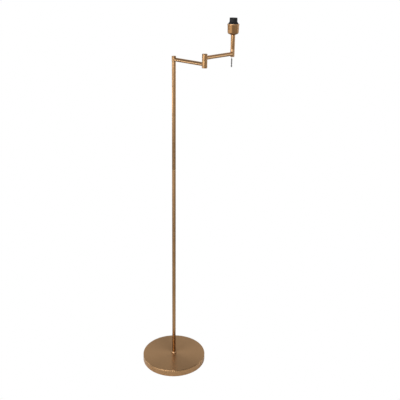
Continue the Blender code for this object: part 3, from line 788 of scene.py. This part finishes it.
def make_barrel():
    """The black barrel: a broad skirt, a coned shoulder, and a neck with grip ribs round its foot."""
    low, high = span("lampholder_barrel")
    skirt, neck, bore = radius_of("lampholder_barrel"), 15.5 * MM, SOCKET_BORE
    inside, recess = skirt - 1.6 * MM, low + 7.6 * MM
    shoulder = high - 20.5 * MM
    rib_low, rib_high = shoulder + 5.6 * MM, shoulder + 12.6 * MM
    corners = [
        (bore, high, 0.5 * MM),
        (neck, high, 1.1 * MM),
        (neck, high - 2.4 * MM, 0.2 * MM),
        (neck - 0.35 * MM, high - 2.8 * MM, 0.1 * MM),
        (neck - 0.35 * MM, high - 3.4 * MM, 0.1 * MM),
        (neck, high - 3.8 * MM, 0.2 * MM),
        *[(neck, rib_high - step * 0.5 * MM, 0.0) for step in range(15)],
        (neck + 0.4 * MM, rib_low - 0.6 * MM, 0.4 * MM),
        (neck + 1.7 * MM, shoulder + 3.2 * MM, 1.2 * MM),
        (skirt, shoulder, 0.8 * MM),
        (skirt, low, 0.3 * MM),
        (inside, low, 0.3 * MM),
        (inside, recess, 0.3 * MM),
        (bore, recess, 0.3 * MM),
    ]
    ribs, depth = 24, 0.42 * MM

    def grip(angle, radius, height):
        """The flutes between the ribs, cut into the neck and fading out at both ends."""
        if radius < neck - 0.1 * MM or not rib_low < height < rib_high:
            return 0.0
        fade = min(1.0, (height - rib_low) / MM, (rib_high - height) / MM)
        return -depth * fade * (0.5 + 0.5 * math.cos(ribs * angle)) ** 2

    outline = rounded(corners, 5)
    barrel = lathe("lampholder_barrel_moulded", outline, origin(END, "lampholder_barrel"), 288, grip)
    stands_for(barrel, "lampholder_barrel")


def make_screw_shell():
    """The E27 screw shell: a thin brass sleeve with a rolled thread of 3.62 mm pitch."""
    low, high = span("screw_shell")
    middle, wall, swell, pitch = 12.85 * MM, 0.35 * MM, 0.42 * MM, 3.62 * MM
    steps, segments = 120, 96
    at = origin(END, "screw_shell")

    def ring(height, size):
        points = []
        for i in range(segments):
            angle = math.tau * i / segments
            ease = min(1.0, (height - low) / (1.5 * MM), (high - height) / (1.5 * MM))
            reach = size + swell * ease * math.sin(math.tau * (height / pitch) - angle)
            points.append((reach * math.cos(angle), reach * math.sin(angle), height - at.z))
        return points

    heights = [low + (high - low) * i / steps for i in range(steps + 1)]
    rings = [ring(h, middle) for h in heights] + [ring(h, middle - wall) for h in reversed(heights)]
    shell = object_of("screw_shell_rolled", ring_mesh(rings, True), at, 60.0)
    stands_for(shell, "screw_shell")


def make_contact_block():
    """The glazed block at the bottom of the socket, with a shallow recess in its top."""
    low, high = span("contact_block")
    radius = radius_of("contact_block")
    corners = [
        (0.0, high - 0.8 * MM, 0.0),
        (6.0 * MM, high - 0.8 * MM, 0.3 * MM),
        (6.6 * MM, high, 0.3 * MM),
        (radius, high, 0.5 * MM),
        (radius, low, 0.5 * MM),
        (0.0, low, 0.0),
    ]
    block = lathe("contact_block_glazed", rounded(corners, 4), origin(END, "contact_block"), 96)
    stands_for(block, "contact_block")


def make_contact_tongue():
    """The sprung brass tongue on the block: an arched strip with round ends."""
    low, high = span("centre_contact")
    at = Vector((END.x, END.y, low))
    length, width, thick, steps = 3.4 * MM, 2.0 * MM, 0.35 * MM, 16
    bm = bmesh.new()
    rows = []
    for i in range(steps + 1):
        along = -length + 2 * length * i / steps
        rise = (high - low - thick) * math.sin(math.pi * i / steps) ** 0.8 if 0 < i < steps else 0.0
        half = width * math.sqrt(max(0.12, 1 - (along / length) ** 4))
        rows.append([bm.verts.new(p) for p in ((along, -half, rise), (along, half, rise))])
    for one, two in zip(rows, rows[1:]):
        bm.faces.new((one[0], two[0], two[1], one[1]))
    bmesh.ops.solidify(bm, geom=bm.faces[:], thickness=-thick)
    bmesh.ops.recalc_face_normals(bm, faces=bm.faces)
    # The operator adds faces in no fixed order, so they are put in one along the strip
    order = Vector((1.0, 0.37, 0.11))
    bm.verts.sort(key=lambda vert: vert.co.dot(order))
    bm.faces.sort(key=lambda face: face.calc_center_median().dot(order))
    tongue = object_of("centre_contact_tongue", bm, at)
    stands_for(tongue, "centre_contact")


# Pull ---------------------------------------------------------------------------------------------


def make_pull_wire():
    """The wire that hangs below the end knuckle, and the ferrule that it comes out of."""
    tube("pull_outlet", "pull_outlet_turned", PULL, 1.2 * MM, 0.25 * MM, 48)
    low, high = span("pull_wire")
    radius = radius_of("pull_wire")
    corners = [(0.0, high, 0.0), (radius, high, 0.1 * MM), (radius, low, 0.1 * MM), (0.0, low, 0.0)]
    stands_for(lathe("pull_wire_drawn", rounded(corners, 2), origin(PULL, "pull_wire"), 24), "pull_wire")


def make_pull_sleeve():
    """The long turned grip, with a ring groove near its foot."""
    low, high = span("pull_sleeve")
    radius = radius_of("pull_sleeve")
    corners = [
        (PULL_BORE, high, 0.2 * MM),
        (radius - 1.1 * MM, high, 0.3 * MM),
        (radius, high - 1.2 * MM, 0.6 * MM),
        (radius, low + 1.9 * MM, 0.2 * MM),
        (radius - 0.3 * MM, low + 1.6 * MM, 0.1 * MM),
        (radius, low + 1.3 * MM, 0.2 * MM),
        (radius - 0.2 * MM, low, 0.5 * MM),
        (PULL_BORE, low, 0.2 * MM),
    ]
    sleeve = lathe("pull_sleeve_turned", rounded(corners, 4), origin(PULL, "pull_sleeve"), 64)
    stands_for(sleeve, "pull_sleeve")


def make_pull_bead():
    """The bead at the end of the wire, with a short neck."""
    low, high = span("pull_bead")
    radius = radius_of("pull_bead")
    corners = [
        (PULL_BORE, high, 0.2 * MM),
        (1.7 * MM, high, 0.3 * MM),
        (1.4 * MM, high - 1.0 * MM, 0.3 * MM),
        (radius, high - 3.2 * MM, 1.6 * MM),
        (radius, low + 2.0 * MM, 1.6 * MM),
        (1.5 * MM, low, 0.5 * MM),
        (PULL_BORE, low, 0.1 * MM),
    ]
    stands_for(lathe("pull_bead_turned", rounded(corners, 6), origin(PULL, "pull_bead"), 64), "pull_bead")


def dress_the_rest():
    """A finish for every CAD node that stays: the nuts, rods, bushes and wires inside the lamp."""
    for name, obj in frame["nodes"].items():
        if obj.hide_render:
            continue
        obj.data.materials.clear()
        obj.data.materials.append(finish_for(SLOT_OF[name]))


# Studio -------------------------------------------------------------------------------------------


def make_floor():
    """A pale floor. The camera sees it as plain white. In the lamp's reflections its colour is a painted pool
    of light, pale near the lamp and painted darker further out.
    """
    bm = bmesh.new()
    bmesh.ops.create_grid(bm, x_segments=1, y_segments=1, size=FLOOR_HALF)
    floor = object_of("floor", bm, (0.0, 0.0, -FLOOR_DROP))
    made = Finish("pale_floor", FLOOR_PAINTED_LIT, 0.9)
    made.set("Specular IOR Level", 0.0)
    made.set("Emission Color", (*WHITE, 1.0))
    seen = made.node("ShaderNodeLightPath").outputs["Is Camera Ray"]
    away = made.vector("LENGTH", made.place())
    # Painted pool of light: pale near the lamp, painted darker further out
    tone_and_painted_light = made.ramp(away, ((0.2, FLOOR_PAINTED_LIT), (0.7, FLOOR_PAINTED_DIM)))
    made.drive("Base Color", made.mix(seen, tone_and_painted_light, BLACK))
    made.drive("Emission Strength", seen)
    floor.data.materials.append(made.material)


def make_studio():
    """A white backdrop, and for light and reflections a room whose walls are unevenly bright."""
    world = bpy.data.worlds.new("studio")
    world.use_nodes = True
    bpy.context.scene.world = world
    made = Nodes(world.node_tree)
    x, y, z = made.split(made.place("Generated"))
    bearing = made.math("ARCTAN2", x, made.math("MULTIPLY", y, -1.0))
    turn = made.math("ADD", made.math("DIVIDE", bearing, math.tau), 0.5)
    walls = made.ramp(turn, [((angle + 180) / 360, grey) for angle, grey in WALL_STEPS])
    ceiling = made.ramp(z, CEILING_STEPS)
    room = made.vector("MULTIPLY", walls, ceiling)
    seen = made.node("ShaderNodeLightPath").outputs["Is Camera Ray"]
    made.link(made.mix(seen, room, WHITE), world.node_tree.nodes["Background"].inputs["Color"])


def softbox(name, at, towards, size, power):
    """A rectangular area light of (width, height) metres and of power watts."""
    light = bpy.data.lights.new(name, "AREA")
    light.shape = "RECTANGLE"
    light.size, light.size_y = size
    light.energy = power
    obj = bpy.data.objects.new(name, light)
    bpy.context.scene.collection.objects.link(obj)
    obj.location = at
    obj.rotation_euler = (Vector(towards) - Vector(at)).to_track_quat("-Z", "Y").to_euler()


def make_lights():
    softbox("key_left", at=(-1.25, -1.35, 2.1), towards=(0.1, 0.0, 1.0), size=(1.0, 1.4), power=16.0)
    softbox("side_left", at=(-1.85, 0.43, 0.98), towards=(0.0, 0.0, 0.5), size=(0.9, 0.3), power=5.0)
    softbox("top_front", at=(-0.32, -1.55, 2.2), towards=(0.0, 0.0, 0.1), size=(1.0, 0.6), power=19.0)
    softbox("side_right", at=(2.1, 0.75, 1.3), towards=(0.0, 0.0, 0.9), size=(0.6, 0.9), power=3.0)


def make_camera():
    data = bpy.data.cameras.new("camera")
    data.lens = CAMERA_LENS
    data.sensor_width = CAMERA_SENSOR
    data.clip_start, data.clip_end = 0.05, 80.0
    camera = bpy.data.objects.new("camera", data)
    bpy.context.scene.collection.objects.link(camera)
    camera.location = CAMERA_AT
    camera.rotation_mode = "QUATERNION"
    level = Quaternion((1.0, 0.0, 0.0), math.pi / 2 - CAMERA_PITCH)
    camera.rotation_quaternion = level @ Quaternion((0.0, 0.0, 1.0), CAMERA_ROLL)
    bpy.context.scene.camera = camera


def main():
    bpy.context.scene.view_settings.view_transform = "Standard"
    make_camera()
    make_base()
    make_felt()
    make_grommet()
    make_collar()
    make_pole()
    make_coupler()
    make_arms()
    make_cup()
    make_barrel()
    make_screw_shell()
    make_contact_block()
    make_contact_tongue()
    make_pull_wire()
    make_pull_sleeve()
    make_pull_bead()
    dress_the_rest()
    make_floor()
    make_studio()
    make_lights()


main()
